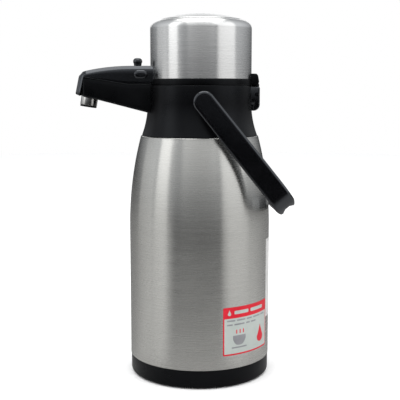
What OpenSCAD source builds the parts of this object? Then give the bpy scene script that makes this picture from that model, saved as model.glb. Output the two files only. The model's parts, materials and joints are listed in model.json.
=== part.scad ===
// Thermal airpot: a vacuum-walled steel jug with a push-down air pump in its hinged lid,
// a fixed pouring spout and a swinging carry handle.
// The origin is on the jug's axis at the surface that it stands on. +Z is up,
// the spout points to -X and the lid's hinge is at +X.

/* [Steel body] */
// Outer diameter of the steel body
body_d = 141.4; // [140:0.2:146]
// Height at which the straight wall ends and the shoulder curve begins
straight_top_z = 150; // [130:5:160]
// Outer diameter at the top edge of the steel body
shell_top_d = 117.4; // [117:0.1:119]
// Thickness of the steel sheet
steel_t = 0.8; // [0.6:0.1:1]
// Height of the plastic base ring
base_h = 18.6; // [17:0.2:20]

/* [Collar] */
// Outer diameter of the collar's straight upper part
collar_d = 103.8; // [103.6:0.1:104]
// Wall thickness of the plastic collar and spout
plastic_t = 2.4; // [2:0.1:2.5]

/* [Lid] */
// Outer diameter of the steel cap
cap_d = 100.6; // [100.4:0.1:101]
// Height of the steel cap above its ring
cap_h = 57.2; // [55:0.1:61]
// Rounding of the steel cap's upper rim
cap_fillet = 7; // [5:0.5:7]
// Diameter of the domed press plate
press_d = 83; // [80:0.5:83.2]
// Radius of the press plate's dome
dome_r = 140; // [120:5:200]

/* [Spout] */
// Width of the spout at its tip
spout_tip_w = 27; // [26:1:30]
// Width of the spout where it meets the collar
spout_root_w = 33; // [32:1:36]
// Outer diameter of the steel nozzle sleeve
nozzle_d = 16.5; // [15.5:0.5:17]
// Angle by which the nozzle leans forward
nozzle_tilt = 9; // [6:1:10]

/* [Carry handle] */
// Distance between the inner faces of the two arms
handle_gap = 121.6; // [121:0.2:124]
// Thickness of the arms
arm_t = 5.2; // [4.8:0.1:6]
// Width of the arms at the pivot
arm_w = 20.8; // [19:0.2:21]
// Angle of the resting handle below the horizontal
handle_rest = 51.6; // [48:0.1:51.6]

/* [Hidden] */

$fn = 96;
cut = 1;                       // how far a cutting shape runs past what it cuts
fit_gap = 0.05;                // play between a part and the sheet that it sits in
jug_wide = 80;                 // half-width of a cutting shape that runs across the whole jug

// Heights of the jug
shell_top_z = 240.7;
neck_top_z = 268;
collar_top_z = 290.2;
ring_z = 291;                  // underside of the lid ring
ring_top_z = 296.6;
lid_x = 1.5;                   // the round lid sits this far towards its hinge
cap_top_z = ring_top_z + cap_h;

// Radii of the jug
body_r = body_d / 2;
shell_top_r = shell_top_d / 2;
collar_r = collar_d / 2;
cap_r = cap_d / 2;
neck_r = 40;
ledge_r = 55;                  // where the hidden shoulder cone starts
cone_top_z = 256;
liner_r = 62;
liner_low_z = 32;
liner_low_r = 9;               // rounding of the liner's lower rim
liner_shoulder_z = 236;
liner_shoulder_r = 50;
liner_cone_top_z = 250;

// The shoulder curve is tangent to the straight wall
shoulder_drop = body_r - shell_top_r;
shoulder_rise = shell_top_z - straight_top_z;
shoulder_r = (shoulder_rise ^ 2 + shoulder_drop ^ 2) / (2 * shoulder_drop);

// The collar's flare is tangent to its straight upper part
flare_low_r = 58;
flare_top_z = 273;
flare_drop = flare_low_r - collar_r;
flare_rise = flare_top_z - shell_top_z;
flare_r = (flare_rise ^ 2 + flare_drop ^ 2) / (2 * flare_drop);
collar_floor_z = 258.5;
collar_floor_t = 3;

// Base
base_r = body_r - 0.5;
base_low_z = 0.4;
base_fillet = 3.5;
foot_in_r = 55;
foot_out_r = 62;
foot_top_z = 3.3;
bottom_z = 22;                 // underside of the steel disc that closes the shell
base_screw_ring = 40;
base_boss_low_z = 12;
screw_r = 1.6;
screw_head_r = 3.2;

// Mouth and siphon
rim_t = 0.8;
gasket_t = 1.5;
funnel_z = neck_top_z + rim_t + gasket_t;
funnel_in_r = 36.2;
funnel_top_z = 283;
siphon_x = -26;
siphon_r = 4.5;
siphon_low_z = 40;
siphon_top_z = 272;
siphon_socket_z = 262;         // underside of the socket on top of the tube
pipe_r = 4.8;
pipe_bore_r = 3.6;
elbow_r = 5.4;                 // outside of the elbow that leads from the tube to the spout
elbow_seal_x = -46.6;

// Spout, in the plane of the jug's axis
spout_tip_x = -122.9;
spout_root_x = -30;            // where the spout's plan ends, inside the jug
spout_low_z = 255;
spout_high_z = 315;
nose_x = -117.6;               // inner face of the cover's nose
seam_tip_z = 298.2;
seam_root_x = -71;
spout_flare_r = 9;             // concave fillet between the spout's sides and the cap
crown_x = -66;
crown_z = 309.4;
crown_r = 255;
nozzle_foot = [-110.7, 0, 269.2];
nozzle_lip_h = 1.3;
nozzle_top = 13.5;             // upper end of the sleeve above the nozzle's foot
nozzle_bore_r = 4.3;
nozzle_insert_r = 5.5;
nozzle_insert_top = 15.3;
pipe_turn = 20.5;              // distance up the nozzle from its foot to the bend of the pipe
bend_x = nozzle_foot.x + pipe_turn * sin(nozzle_tilt);
bend_z = nozzle_foot.z + pipe_turn * cos(nozzle_tilt);
pipe_tilt = 12;
pipe_start_x = -49.2;
pipe_run = (pipe_start_x - bend_x) / cos(pipe_tilt);
pipe_start_z = bend_z - pipe_run * sin(pipe_tilt);

// Lid hinge
hinge_x = 55.8;
hinge_z = 281.5;
hinge_pin_r = 2;
hinge_half_w = 14.5;
tongue_half_w = 8.6;
tongue_r = 3.2;
bracket_bolt_x = 46;
bracket_bolt_y = 11.5;
running_gap = 0.05;

// Latch
latch_x = -58.5;
latch_z = 301;
latch_pin_r = 1.5;
latch_half_w = 9.2;
latch_leg_y = 7.9;
latch_leg_w = 2.6;
knob_x = -61.4;
knob_r = 4.5;
knob_low_z = 310.7;
knob_top_z = 317.2;

// Pump
press_r = press_d / 2;
press_edge_z = cap_top_z + 0.6;
press_hole_r = 42;
floor_z = 336;                 // underside of the press carrier at rest
sleeve_lip_z = 340;
inner_lid_z = 286;
inner_lid_top_z = 292;
inner_lid_r = 40.6;
lid_ring_in_r = 40.8;

// Handle
handle_z = 274.8;
arm_in_y = handle_gap / 2;
arm_out_y = arm_in_y + arm_t;
grip_in = 126.4;                // distance from the pivot to the grip's inner face
grip_out = 133.2;
handle_pin_r = 4;
handle_pin_in_y = 50.5;
handle_pin_out_y = arm_out_y - 1.6;

// Outline, as radius and height, of a round solid whose rims may be rounded
module round_outline(r, z_low, z_high, low = 0, high = 0) {
    translate([0, z_low + low]) square([r, z_high - z_low - low - high]);
    if (low > 0) {
        translate([0, z_low]) square([r - low, 2 * low]);
        translate([r - low, z_low + low]) circle(low);
    }
    if (high > 0) {
        translate([0, z_high - 2 * high]) square([r - high, 2 * high]);
        translate([r - high, z_high - high]) circle(high);
    }
}

// Moves a round part of the lid onto the lid's own axis
module on_lid() {
    translate([lid_x, 0, 0]) children();
}

// Ring between two radii
module ring(r_in, r_out, z_low, z_high) {
    rotate_extrude() translate([r_in, z_low]) square([r_out - r_in, z_high - z_low]);
}

// Rubber ring of round section
module o_ring(r, section_r) {
    rotate_extrude() translate([r, 0]) circle(section_r, $fn = 32);
}

// Pan-head screw that stands on its head, with its shank along +Z
module screw(shank_r, head_r, head_h, length) {
    rotate_extrude() round_outline(head_r, 0, head_h, low = 0.5);
    cylinder(r = shank_r, h = length);
}

// Mushroom valve with its disc at the bottom and its stem along +Z
module mushroom_valve(disc_r, disc_t, stem_h) {
    rotate_extrude() round_outline(disc_r, 0, disc_t, low = 0.5);
    cylinder(r = 2, h = disc_t + stem_h);
}

// Coil of wire along +Z, as one closed tube
module coil(coil_r, wire_r, pitch, turns, steps = 24, sides = 8) {
    rings = turns * steps;
    points = [for (i = [0:rings], k = [0:sides - 1])
        let (turn = 360 * i / steps, around = 360 * k / sides, r = coil_r + wire_r * cos(around))
        [r * cos(turn), r * sin(turn), pitch * i / steps + wire_r * sin(around)]];
    walls = [for (i = [0:rings - 1], k = [0:sides - 1])
        let (a = i * sides, b = (k + 1) % sides)
        [a + k, a + b, a + sides + b, a + sides + k]];
    first_end = [for (k = [sides - 1:-1:0]) k];
    last_end = [for (k = [0:sides - 1]) rings * sides + k];
    polyhedron(points, concat([first_end, last_end], walls), convexity = 10);
}

// Stem hole and the air holes round it, under a mushroom valve
module valve_holes(z) {
    translate([0, 0, z - cut]) {
        cylinder(r = 2, h = 10);
        for (i = [0:3]) rotate(45 + 90 * i) translate([5, 0, 0]) cylinder(r = 1.5, h = 10);
    }
}

// Places a shape on the nozzle's axis, which runs up from the nozzle's foot
module on_nozzle() {
    translate(nozzle_foot) rotate([0, nozzle_tilt, 0]) children();
}

// Extrudes an outline drawn as length and height across the jug, centred on its middle plane
module across(half_w) {
    rotate([90, 0, 0]) translate([0, 0, -half_w]) linear_extrude(2 * half_w) children();
}

// ---- Vessel ----

// Outline of the shell's outside, or of its inside when it is inset by the sheet's thickness
module shell_outline(inset = 0) {
    low_z = inset > 0 ? base_h - cut : base_h;
    top_z = inset > 0 ? neck_top_z + cut : neck_top_z;
    translate([0, low_z]) square([body_r - inset, straight_top_z - low_z]);
    intersection() {
        translate([body_r - shoulder_r, straight_top_z]) circle(shoulder_r - inset, $fn = 720);
        translate([0, straight_top_z - cut]) square([body_r, shoulder_rise + cut - inset]);
    }
    polygon([[0, shell_top_z - inset - cut], [ledge_r, shell_top_z - inset - cut],
             [ledge_r, shell_top_z - inset], [neck_r - inset, cone_top_z - inset],
             [neck_r - inset, top_z], [0, top_z]]);
}

module shell_wall() {
    difference() {
        shell_outline();
        shell_outline(steel_t);
    }
}

module outer_shell() {
    color("silver") rotate_extrude() intersection() {
        shell_wall();
        translate([ledge_r, 0]) square([body_r, neck_top_z]);
    }
}

module shell_neck() {
    color("silver") rotate_extrude() intersection() {
        shell_wall();
        translate([0, liner_shoulder_z]) square([ledge_r, neck_top_z]);
    }
}

module liner_outline(inset = 0) {
    low_z = liner_low_z + inset;
    top_z = inset > 0 ? neck_top_z + rim_t + cut : neck_top_z + rim_t;
    neck_out_r = neck_r - steel_t - inset;
    round_outline(liner_r - inset, low_z, straight_top_z, low = liner_low_r - inset);
    polygon([[0, straight_top_z - cut], [liner_r - inset, straight_top_z - cut],
             [liner_r - inset, straight_top_z], [liner_shoulder_r - inset, liner_shoulder_z],
             [neck_out_r, liner_cone_top_z - inset], [neck_out_r, top_z], [0, top_z]]);
}

// Part of the liner's wall that lies between two heights
module liner_wall(z_low, z_high) {
    rotate_extrude() intersection() {
        difference() {
            union() {
                liner_outline();
                translate([0, neck_top_z]) square([neck_r + 0.6, rim_t]);
            }
            liner_outline(steel_t);
        }
        translate([0, z_low]) square([liner_r + cut, z_high - z_low]);
    }
}

module inner_liner() {
    color("gainsboro") liner_wall(liner_low_z + liner_low_r, liner_shoulder_z);
}

module liner_neck() {
    color("gainsboro") liner_wall(liner_shoulder_z, neck_top_z + rim_t);
}

module liner_bottom() {
    color("gainsboro") liner_wall(liner_low_z, liner_low_z + liner_low_r);
}

module base_bolt_circle() {
    for (i = [0:2]) rotate(60 + 120 * i) translate([base_screw_ring, 0, 0]) children();
}

module shell_bottom() {
    boss_r = 4;
    hole_h = 8;
    color("silver") difference() {
        union() {
            ring(0, body_r - steel_t - fit_gap, bottom_z, bottom_z + 1);
            base_bolt_circle() translate([0, 0, base_boss_low_z])
                cylinder(r = boss_r, h = bottom_z - base_boss_low_z);
        }
        base_bolt_circle() translate([0, 0, base_boss_low_z - cut]) cylinder(r = screw_r, h = hole_h + cut);
    }
}

module base_ring() {
    wall_t = 3;
    head_seat_z = 5;
    boss_half = 6;
    color("#161618") difference() {
        rotate_extrude() difference() {
            union() {
                round_outline(base_r, base_low_z, base_h, low = base_fillet);
                round_outline(body_r - steel_t - 0.1, base_h - cut, bottom_z);
            }
            difference() {
                round_outline(base_r - wall_t, head_seat_z + wall_t, bottom_z + cut);
                translate([base_screw_ring - boss_half, 0]) square([2 * boss_half, base_boss_low_z]);
            }
            translate([foot_in_r, 0]) square([foot_out_r - foot_in_r, foot_top_z]);
        }
        base_bolt_circle() cylinder(r = screw_r + 0.2, h = base_boss_low_z + cut);
        base_bolt_circle() cylinder(r = screw_head_r + 0.3, h = head_seat_z);
    }
}

module foot_ring() {
    color("#202022") ring(foot_in_r, foot_out_r, 0, foot_top_z);
}

module base_screws() {
    head_h = 2;
    color("gray") base_bolt_circle() translate([0, 0, 3]) screw(screw_r, screw_head_r, head_h, 16);
}

module neck_nut() {
    nut_r = 47;
    color("#303032") ring(neck_r + 0.1, nut_r, collar_floor_z + collar_floor_t, neck_top_z - 1);
}

module neck_gasket() {
    color("ivory") ring(38.6, 43, neck_top_z + rim_t, funnel_z);
}

// ---- Collar with the fixed lower half of the spout ----

module collar_outline(inset = 0) {
    top_z = inset > 0 ? collar_top_z + cut : collar_top_z;
    low_z = inset > 0 ? shell_top_z - cut : shell_top_z;
    translate([0, low_z]) square([collar_r - inset, top_z - low_z]);
    difference() {
        translate([0, low_z]) square([flare_low_r + cut, flare_top_z - low_z]);
        translate([collar_r + flare_r, flare_top_z]) circle(flare_r + inset, $fn = 360);
        translate([flare_low_r + 0.01 - inset, low_z - cut]) square([4 * cut + inset, flare_rise + 3 * cut]);
    }
}

// The collar's outside with its inside filled
module collar_solid() {
    rotate_extrude() collar_outline();
}

// Plan of the spout: tapered sides, a rounded tip and concave fillets into the lid ring
module spout_plan(inset = 0, axis_x = 0) {
    corner_r = 6 - inset;
    tip_x = spout_tip_x + inset;
    tip_half = spout_tip_w / 2 - inset;
    root_half = spout_root_w / 2 - inset;
    fillet_r = spout_flare_r + inset;
    fillet_y = root_half + fillet_r;
    ring_reach = cap_r + 0.6 + spout_flare_r;
    fillet_x = axis_x - sqrt(ring_reach ^ 2 - fillet_y ^ 2);
    meet_y = fillet_y * (1 - fillet_r / ring_reach);
    polygon([[tip_x + corner_r, -tip_half], [fillet_x, -root_half], [spout_root_x, -root_half],
             [spout_root_x, root_half], [fillet_x, root_half], [tip_x + corner_r, tip_half]]);
    translate([tip_x, corner_r - tip_half]) square([2 * corner_r, 2 * (tip_half - corner_r)]);
    for (side = [-1, 1]) {
        translate([tip_x + corner_r, side * (tip_half - corner_r)]) circle(corner_r);
        difference() {
            translate([fillet_x, side > 0 ? root_half - cut : -meet_y])
                square([spout_root_x - fillet_x, meet_y - root_half + cut]);
            translate([fillet_x, side * fillet_y]) circle(fillet_r);
        }
    }
}

module spout_plan_solid(inset = 0, axis_x = 0) {
    translate([0, 0, spout_low_z]) linear_extrude(spout_high_z - spout_low_z) spout_plan(inset, axis_x);
}

// Side view of the fixed lower half: its underside rises towards the nozzle
module tray_side(inset = 0) {
    seam_gap = 0.5;
    polygon([[-116.6 + inset, 279.7 + inset], [-100.5, 276.3 + inset], [-53, 264 + inset],
             [-42, 261.1 + inset], [-42, ring_z - 2 * seam_gap + 2 * inset],
             [seam_root_x, ring_z - seam_gap + 2 * inset],
             [-115.7 + inset, seam_tip_z - seam_gap + 2 * inset]]);
}

// Bores for the spout pipe where it passes the collar, and for the nozzle
module spout_bores() {
    translate([pipe_start_x, 0, pipe_start_z]) rotate([0, -90 + pipe_tilt, 0])
        translate([0, 0, -4]) cylinder(r = pipe_r + 0.1, h = 12);
    on_nozzle() translate([0, 0, nozzle_top - 9.5]) cylinder(r = nozzle_d / 2, h = 14);
}

module collar() {
    boss_r = 9;
    boss_h = 12;
    catch_at = [-54.7, 8.2, 286.6];
    catch_size = [4, 3.4, 2];
    color("#1b1b1d") difference() {
        union() {
            difference() {
                union() {
                    collar_solid();
                    for (side = [-1, 1])
                        translate([0, side * (arm_in_y - 0.4), handle_z]) rotate([side * 90, 0, 0])
                            cylinder(r = boss_r, h = boss_h);
                }
                rotate_extrude() difference() {
                    collar_outline(plastic_t);
                    translate([neck_r + 0.2, collar_floor_z]) square([20, collar_floor_t]);
                }
            }
            for (side = [-1, 1])
                translate([catch_at.x, side * catch_at.y - catch_size.y / 2, catch_at.z]) cube(catch_size);
        }
        translate([0, 0, handle_z]) rotate([90, 0, 0])
            cylinder(r = handle_pin_r, h = 2 * handle_pin_out_y, center = true);
        spout_bores();
        bracket_bolts() cylinder(r = screw_r, h = 8);
    }
}

// Open-topped lower half of the spout, fixed to the collar
module spout_tray() {
    color("#1b1b1d") difference() {
        intersection() {
            across(jug_wide) tray_side();
            spout_plan_solid();
        }
        intersection() {
            across(jug_wide) tray_side(plastic_t);
            spout_plan_solid(plastic_t);
        }
        collar_solid();
        spout_bores();
    }
}

module mouth_funnel() {
    wall_t = 2;
    flange_r = 44;
    flange_t = 2.5;
    color("#dcdcd8") difference() {
        union() {
            ring(funnel_in_r, funnel_in_r + wall_t, cone_top_z, funnel_top_z);
            ring(funnel_in_r, flange_r, funnel_z, funnel_z + flange_t);
        }
        translate([siphon_x, 0, pipe_start_z]) rotate([0, -90, 0]) cylinder(r = elbow_r + 0.2, h = 20);
    }
}

module siphon_tube() {
    color("silver") translate([siphon_x, 0, 0]) ring(siphon_r - 0.8, siphon_r, siphon_low_z, siphon_top_z);
}

module siphon_head() {
    socket_r = 6;
    socket_top_z = pipe_start_z + 5;
    elbow_run = 22;
    color("#e6e6e2") difference() {
        union() {
            translate([siphon_x, 0, siphon_socket_z])
                cylinder(r = socket_r, h = socket_top_z - siphon_socket_z);
            translate([siphon_x, 0, pipe_start_z]) rotate([0, -90, 0]) cylinder(r = elbow_r, h = elbow_run);
        }
        translate([siphon_x, 0, siphon_socket_z - cut])
            cylinder(r = siphon_r, h = siphon_top_z - siphon_socket_z + cut);
        translate([siphon_x, 0, siphon_top_z - cut]) cylinder(r = pipe_bore_r, h = pipe_start_z - siphon_top_z);
        translate([siphon_x, 0, pipe_start_z]) rotate([0, -90, 0])
            cylinder(r = pipe_bore_r, h = elbow_run + cut);
    }
}

module siphon_seal() {
    color("ivory") translate([elbow_seal_x, 0, pipe_start_z]) rotate([0, 90, 0]) o_ring(elbow_r + 1, 1);
}

// Run of the spout pipe, at a given radius, from the collar to the bend and down to the nozzle
module pipe_run_solid(r, spare) {
    translate([bend_x, 0, bend_z]) {
        sphere(r + 0.3);
        rotate([0, 90 + pipe_tilt, 0]) cylinder(r = r, h = pipe_run + spare);
        rotate([0, 180 + nozzle_tilt, 0]) cylinder(r = r, h = pipe_turn - nozzle_insert_top + spare);
    }
}

module spout_pipe() {
    color("#e6e6e2") difference() {
        pipe_run_solid(pipe_r, 0);
        pipe_run_solid(pipe_bore_r, cut);
    }
}

module nozzle_sleeve() {
    color("silver") on_nozzle() ring(nozzle_insert_r, nozzle_d / 2, nozzle_lip_h, nozzle_top);
}

module nozzle_insert() {
    color("#101010") on_nozzle() {
        ring(nozzle_bore_r, nozzle_insert_r, 0, nozzle_insert_top);
        ring(nozzle_bore_r + 0.7, nozzle_d / 2 - 0.3, 0, nozzle_lip_h);
    }
}

module nozzle_seal() {
    color("ivory") on_nozzle() translate([0, 0, nozzle_top + 1]) o_ring(nozzle_insert_r + 1.05, 0.95);
}

// ---- Hinge ----

module bracket_bolts() {
    for (side = [-1, 1])
        translate([bracket_bolt_x, side * bracket_bolt_y, 270]) rotate([0, 90, 0]) children();
}

module hinge_bracket() {
    inner_x = 48;
    outer_x = 59;
    low_z = 265.5;
    top_z = 289.2;
    corner_r = 6;
    web_top_z = 274;
    slot_x = collar_r + 0.5;
    flare_sag = flare_r - sqrt(flare_r ^ 2 - (flare_top_z - low_z + cut) ^ 2);
    color("#121214") difference() {
        across(hinge_half_w) union() {
            translate([inner_x, low_z + corner_r]) square([outer_x - inner_x, top_z - low_z - corner_r]);
            translate([inner_x, low_z]) square([outer_x - corner_r - inner_x, corner_r + cut]);
            translate([outer_x - corner_r, low_z + corner_r]) circle(corner_r);
        }
        rotate_extrude() polygon([[0, low_z - cut], [collar_r + flare_sag, low_z - cut],
                                  [collar_r, flare_top_z], [collar_r, top_z + cut], [0, top_z + cut]]);
        translate([slot_x, -tongue_half_w - 0.4, web_top_z]) cube([20, 2 * tongue_half_w + 0.8, 30]);
        translate([hinge_x, 0, hinge_z]) rotate([90, 0, 0])
            cylinder(r = hinge_pin_r, h = 2 * hinge_half_w + 2 * cut, center = true);
        bracket_bolts() cylinder(r = screw_r, h = 11);
    }
}

module bracket_screws() {
    color("gray") bracket_bolts() translate([0, 0, -0.4]) screw(screw_r, 2.6, 1.6, 9.6);
}

module hinge_pin() {
    color("silver") translate([hinge_x, 0, hinge_z]) rotate([90, 0, 0])
        cylinder(r = hinge_pin_r, h = 2 * hinge_half_w, center = true);
}

// ---- Labels ----

// Thin panel that follows the steel body, from one angle to another
module body_panel(from_angle, to_angle, z_low, z_high) {
    rotate(from_angle) rotate_extrude(angle = to_angle - from_angle, $fn = 180)
        translate([body_r, z_low]) square([0.2, z_high - z_low]);
}

module care_label() {
    color("#c8202a") body_panel(-75.4, -25.6, 32, 79.5);
}

module rear_label() {
    color("white") body_panel(-25, 25, 60, 139);
}

// ---- Lid ----

// Side view of the block that carries the lid on its hinge, outside the cap
module knuckle_side() {
    polygon([[46, ring_z - 0.3], [57.2, ring_z - 0.3], [58.3, 294], [57, 300.4], [55.4, 302], [46, 302]]);
}

module lid_ring() {
    color("#17171a") difference() {
        union() {
            on_lid() {
                ring(lid_ring_in_r, cap_r + 0.6, ring_z, ring_top_z);
                ring(47.7, cap_r - steel_t - fit_gap, ring_top_z - cut, ring_top_z + 4.5);
            }
            difference() {
                union() {
                    across(hinge_half_w) knuckle_side();
                    across(tongue_half_w) union() {
                        translate([hinge_x, hinge_z]) circle(tongue_r);
                        translate([hinge_x - tongue_r, hinge_z]) square([2 * tongue_r, ring_z - hinge_z + cut]);
                    }
                }
                on_lid() rotate_extrude() translate([0, ring_z]) square([cap_r + 0.1, 20]);
                collar_clearance();
            }
        }
        translate([hinge_x, 0, hinge_z]) rotate([90, 0, 0])
            cylinder(r = hinge_pin_r + running_gap, h = 2 * hinge_half_w + 2 * cut, center = true);
        lid_bolt_circle() translate([0, 0, ring_z - cut]) cylinder(r = 1.4, h = 4.6);
    }
}

// Space round the collar that the lid's block keeps clear of
module collar_clearance() {
    rotate_extrude() translate([0, 260]) square([collar_r + 0.6, collar_top_z - 260 + 0.4]);
}

module lid_bolt_circle() {
    bolt_ring = 42.9;
    on_lid() for (i = [0:3]) rotate(45 + 90 * i) translate([bolt_ring, 0, 0]) children();
}

module cap_shell() {
    color("silver") on_lid() rotate_extrude() difference() {
        round_outline(cap_r, ring_top_z, cap_top_z, high = cap_fillet);
        round_outline(cap_r - steel_t, ring_top_z - cut, cap_top_z - steel_t, high = cap_fillet - steel_t);
        translate([0, cap_top_z - 10]) square([press_hole_r, 20]);
    }
}

module guide_sleeve() {
    color("#2a2a2c") on_lid() {
        ring(45, 47.5, ring_top_z, sleeve_lip_z + 1);
        ring(42.4, cap_r - steel_t - fit_gap, sleeve_lip_z, sleeve_lip_z + 3);
    }
}

module inner_lid() {
    rear_flat_x = 41.5;
    flange_r = 45.6;
    color("#dcdcd8") difference() {
        union() {
            on_lid() ring(0, inner_lid_r, inner_lid_z, inner_lid_top_z);
            on_lid() ring(0, flange_r, inner_lid_z, ring_z);
        }
        translate([rear_flat_x, -50, inner_lid_z - cut]) cube([10, 100, ring_z - inner_lid_z + cut]);
        on_lid() valve_holes(inner_lid_z);
        lid_bolt_circle() translate([0, 0, inner_lid_z - cut]) cylinder(r = 1.5, h = 10);
    }
}

module lid_gasket() {
    color("ivory") on_lid() rotate_extrude() difference() {
        translate([35, funnel_top_z + 0.2]) square([5.2, inner_lid_z - funnel_top_z - 0.2]);
        translate([36.6, funnel_top_z]) square([2.8, 1.4]);
    }
}

// Folded rubber wall with an even number of creases
module bellows() {
    folds = 8;
    low_z = inner_lid_top_z;
    fold_h = (floor_z - low_z) / folds;
    in_r = 33;
    out_r = 40;
    wall_t = 1.6;
    outside = [for (i = [0:folds], half = [0, 1]) if (i < folds || half == 0)
        [half == 0 ? in_r : out_r, low_z + fold_h * (i + half / 2)]];
    inside = [for (i = [len(outside) - 1:-1:0]) [outside[i].x - wall_t, outside[i].y]];
    color("#3a3a3c") on_lid() rotate_extrude() polygon(concat(outside, inside));
}

module return_spring() {
    wire_r = 0.9;
    turns = 6;
    rise = floor_z - inner_lid_top_z - 2 * wire_r - 0.4;
    color("silver") on_lid() translate([0, 0, inner_lid_top_z + wire_r + 0.2])
        coil(26, wire_r, rise / turns, turns);
}

module delivery_valve() {
    color("#b04a2a") on_lid() translate([0, 0, inner_lid_z - 1.4]) mushroom_valve(9, 1.4, 4);
}

module intake_valve() {
    color("#b04a2a") on_lid() translate([0, 0, floor_z - 1.4]) mushroom_valve(8, 1.4, 4);
}

module lid_screws() {
    color("gray") lid_bolt_circle() translate([0, 0, inner_lid_z - 1.6]) screw(1.4, 2.4, 1.6, 9.4);
}

// Side view of the moving upper half of the spout; inset gives the hollow inside it
module cover_side(inset = 0) {
    low = inset > 0 ? 4 * cut : 0;
    intersection() {
        union() {
            translate([crown_x, crown_z - crown_r]) circle(crown_r - inset, $fn = 720);
            translate([crown_x, 200]) square([40, crown_z - 200 - inset]);
        }
        union() {
            polygon([[nose_x + inset, 270], [nose_x + inset, 300 - inset], [-115.6 + inset, 304.3 - inset],
                     [-114.8 + inset, 312], [-40, 312], [-40, ring_z - low], [seam_root_x, ring_z - low],
                     [nose_x + 2 * inset, seam_tip_z - low]]);
            if (inset == 0)
                polygon([[spout_tip_x, 282.1], [-122.1, 280.1], [nose_x, 279.3], [nose_x, seam_tip_z],
                         [-110, seam_tip_z], [-110, 312], [-114.8, 305], [-115.6, 304.3], [-118.7, 300.9]]);
        }
    }
    if (inset == 0) intersection() {
        translate([crown_x, crown_z - crown_r]) circle(crown_r, $fn = 720);
        polygon([[-118.7, 300.9], [-115.6, 304.3], [-112, 308], [-112, 300], [nose_x, 296.9]]);
    }
}

module spout_cover() {
    boss_half = 2.5;
    boss_r = 4.5;
    slot_front_x = -65.4;
    slot_rear_x = -56.6;
    color("#141416") difference() {
        union() {
            intersection() {
                across(jug_wide) cover_side();
                spout_plan_solid(0, lid_x);
            }
            translate([latch_x, 0, latch_z]) rotate([90, 0, 0]) {
                for (side = [-1, 1])
                    translate([side * boss_half, 0, 0])
                        cylinder(r = boss_r, h = spout_root_w + 2, center = true);
                cube([2 * boss_half, 2 * boss_r, spout_root_w + 2], center = true);
            }
        }
        intersection() {
            across(jug_wide) cover_side(plastic_t);
            spout_plan_solid(plastic_t, lid_x);
        }
        on_lid() cylinder(r = cap_r + 0.65, h = ring_top_z);
        on_lid() cylinder(r = cap_r + 0.1, h = cap_top_z);
        translate([slot_front_x, -2.8, latch_z]) cube([slot_rear_x - slot_front_x, 5.6, 20]);
        translate([latch_x, 0, latch_z]) rotate([90, 0, 0])
            cylinder(r = latch_pin_r, h = spout_root_w - 2, center = true);
    }
}

module latch_pin() {
    color("silver") translate([latch_x, 0, latch_z]) rotate([90, 0, 0])
        cylinder(r = latch_pin_r, h = spout_root_w - 2, center = true);
}

module latch_spring() {
    color("silver") translate([latch_x, 10, latch_z]) rotate([-90, 0, 0])
        coil(2.4, 0.35, 0.8, 3, steps = 16, sides = 6);
}

// Rocking lever: a knob on a stem above the pivot, and two legs with hooks below it
module latch_lever() {
    stem_lean = atan2(knob_x - latch_x, knob_low_z - latch_z);
    leg_low_z = 284;
    color("#0f0f11") difference() {
        union() {
            translate([latch_x, 0, latch_z]) {
                rotate([90, 0, 0]) cylinder(r = 3, h = 2 * latch_half_w, center = true);
                rotate([0, stem_lean, 0]) cylinder(r = 2, h = knob_low_z - latch_z + 1);
            }
            translate([knob_x, 0, 0]) rotate_extrude()
                round_outline(knob_r, knob_low_z, knob_top_z, high = 2.2);
            for (side = [-1, 1]) {
                leg_y = side * latch_leg_y - latch_leg_w / 2;
                translate([latch_x - 1.8, leg_y, leg_low_z]) cube([3.6, latch_leg_w, latch_z - leg_low_z]);
                translate([latch_x, leg_y, leg_low_z]) cube([3.4, latch_leg_w, 1.8]);
            }
        }
        translate([latch_x, 0, latch_z]) rotate([90, 0, 0])
            cylinder(r = latch_pin_r + running_gap, h = 2 * latch_half_w + 2 * cut, center = true);
    }
}

// ---- Pump ----

// Section through the press plate's dome, or its inside when inset
module dome_outline(inset = 0) {
    centre_z = press_edge_z - sqrt(dome_r ^ 2 - press_r ^ 2);
    intersection() {
        translate([0, centre_z]) circle(dome_r - inset, $fn = 720);
        translate([0, press_edge_z - 1.5 - inset]) square([press_r - inset, 20]);
    }
}

module press_plate() {
    skirt_low_z = 344;
    color("silver") on_lid() rotate_extrude() difference() {
        union() {
            dome_outline();
            translate([0, skirt_low_z]) square([press_r, press_edge_z - skirt_low_z]);
        }
        translate([0, skirt_low_z - cut]) square([press_r - steel_t, press_edge_z - skirt_low_z - 0.2]);
        dome_outline(steel_t);
    }
}

module press_carrier() {
    color("#2a2a2c") on_lid() difference() {
        union() {
            ring(0, 44.6, floor_z, floor_z + 3.6);
            ring(38.2, press_r - steel_t, floor_z + cut, 352);
        }
        valve_holes(floor_z);
    }
}

// ---- Handle ----

// Side view of the handle's arm and grip lying along its own length, pivot at the origin
module handle_side() {
    scallop_r = 7;
    difference() {
        polygon([[-4, 9], [3, arm_w / 2], [108, 11.2], [126, 10.8], [131.6, 9.1], [grip_out, 6.8],
                 [grip_out, -6], [131.8, -8.8], [125, -10.4], [3, -arm_w / 2], [-4, -9]]);
        translate([grip_out + 2.4, 0.6]) circle(scallop_r);
    }
}

// Plan of the handle: a U whose two corners are rounded
module u_outline(length, half_w, corner_r) {
    start = -20;
    translate([start, -half_w]) square([length - corner_r - start, 2 * half_w]);
    translate([start, corner_r - half_w]) square([length - start, 2 * (half_w - corner_r)]);
    for (side = [-1, 1]) translate([length - corner_r, side * (half_w - corner_r)]) circle(corner_r);
}

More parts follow.
